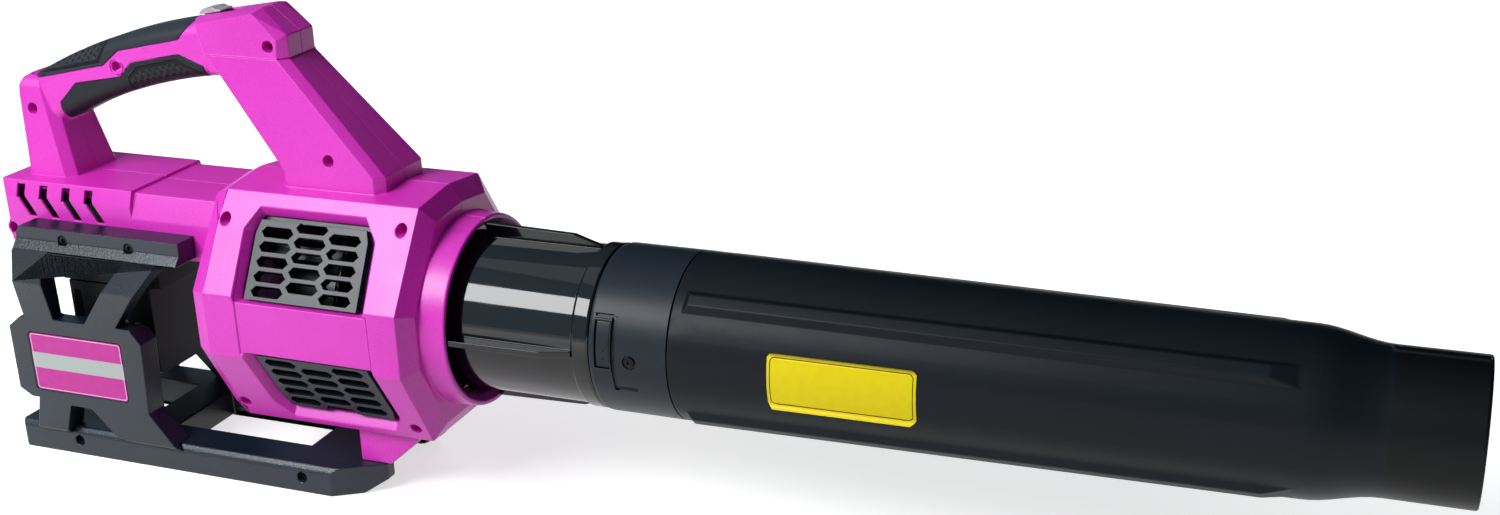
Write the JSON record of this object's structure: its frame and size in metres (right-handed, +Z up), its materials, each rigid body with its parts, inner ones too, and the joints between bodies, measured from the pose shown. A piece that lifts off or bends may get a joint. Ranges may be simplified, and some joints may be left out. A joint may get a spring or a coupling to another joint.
{
  "type": "handheld axial leaf blower",
  "caption": "Battery leaf blower: magenta clamshell with arched grip and drum fan housing, gloss duct, long ribbed black blow tube, caged battery bay and skid base.",
  "frame": {"origin": "on the ground between the skids, midway along the overall length, on the middle plane", "axes": "+X along the blow tube towards the nozzle, +Z up, +Y to the operator's left when facing along +X"},
  "size_m": [0.988, 0.16, 0.328],
  "materials": {
    "housing_plastic": "fine-grained magenta moulding",
    "cage_plastic": "grained dark grey moulding",
    "tube_plastic": "satin black moulding",
    "duct_plastic": "gloss black moulding",
    "grille_plastic": "satin black moulding",
    "fan_plastic": "satin black moulding",
    "soft_grip": "textured soft grip",
    "slider_plastic": "pale grey translucent look",
    "screw_steel": "blackened steel",
    "bright_steel": "zinc-plated steel",
    "motor_steel": "turned steel",
    "motor_windings": "enamelled copper on laminations",
    "aluminium": "bare aluminium",
    "contacts": "plated contact blades",
    "board": "green circuit board",
    "cell_wrap": "blue film wrap",
    "lead_sleeve": "red sleeve",
    "seal_rubber": "black rubber",
    "label_film": null,
    "plate_film": "magenta film, bare"
  },
  "bodies": {
    "housing": {"housing_right": "housing_plastic", "housing_left": "housing_plastic", "housing_screws": "screw_steel", "intake_grille_right": "grille_plastic", "intake_grille_left": "grille_plastic", "grip_pad_top_right": "soft_grip", "grip_pad_top_left": "soft_grip", "grip_pad_bottom_right": "soft_grip", "grip_pad_bottom_left": "soft_grip", "speed_switch": "grille_plastic", "controller_board": "board", "heat_sink": "aluminium", "outlet_duct": "duct_plastic", "duct_seal": "seal_rubber", "motor_stator": "motor_windings", "motor_mount": "grille_plastic", "motor_bearings": "bright_steel", "motor_screws": "bright_steel", "motor_leads": "lead_sleeve", "cage_right": "cage_plastic", "cage_left": "cage_plastic", "cage_screws": "screw_steel", "rating_plate": "plate_film", "skid_base": "cage_plastic", "skid_screws": "screw_steel", "battery_dock": "cage_plastic", "dock_terminals": "contacts"},
    "slider": {"speed_slider": "slider_plastic"},
    "rotor": {"motor_can": "motor_steel", "axial_fan": "fan_plastic", "motor_shaft": "motor_steel"},
    "tube": {"blow_tube": "tube_plastic", "coupling_collar": "tube_plastic", "tube_label": "label_film", "coupling_screws": "screw_steel"},
    "button": {"release_button": "tube_plastic"},
    "pack": {"battery_pack": "cage_plastic", "battery_cells": "cell_wrap", "pack_screws": "bright_steel"},
    "latch": {"pack_latch": "tube_plastic"}
  },
  "joints": [
    {"name": "speed_slide", "type": "slide", "parent": "housing", "child": "slider", "axis": [0.9859, 0, 0.1674], "range_m": [0, 0.014]},
    {"name": "fan_spin", "type": "hinge", "parent": "housing", "child": "rotor", "pos_m": [-0.216, 0, 0.128], "axis": [1, 0, 0], "continuous": true},
    {"name": "tube_twist", "type": "hinge", "parent": "housing", "child": "tube", "pos_m": [-0.006, 0, 0.128], "axis": [1, 0, 0], "range_deg": [0, 20]},
    {"name": "button_press", "type": "slide", "parent": "tube", "child": "button", "axis": [0, 0.9848, -0.1736], "range_m": [0, 0.0012], "stiffness_N_per_m": 1500, "springref_m": -0.001},
    {"name": "pack_slide", "type": "slide", "parent": "housing", "child": "pack", "axis": [-1, 0, 0], "range_m": [0, 0.085]},
    {"name": "latch_press", "type": "slide", "parent": "pack", "child": "latch", "axis": [0, 0, -1], "range_m": [0, 0.004], "stiffness_N_per_m": 1000, "springref_m": -0.002}
  ]
}
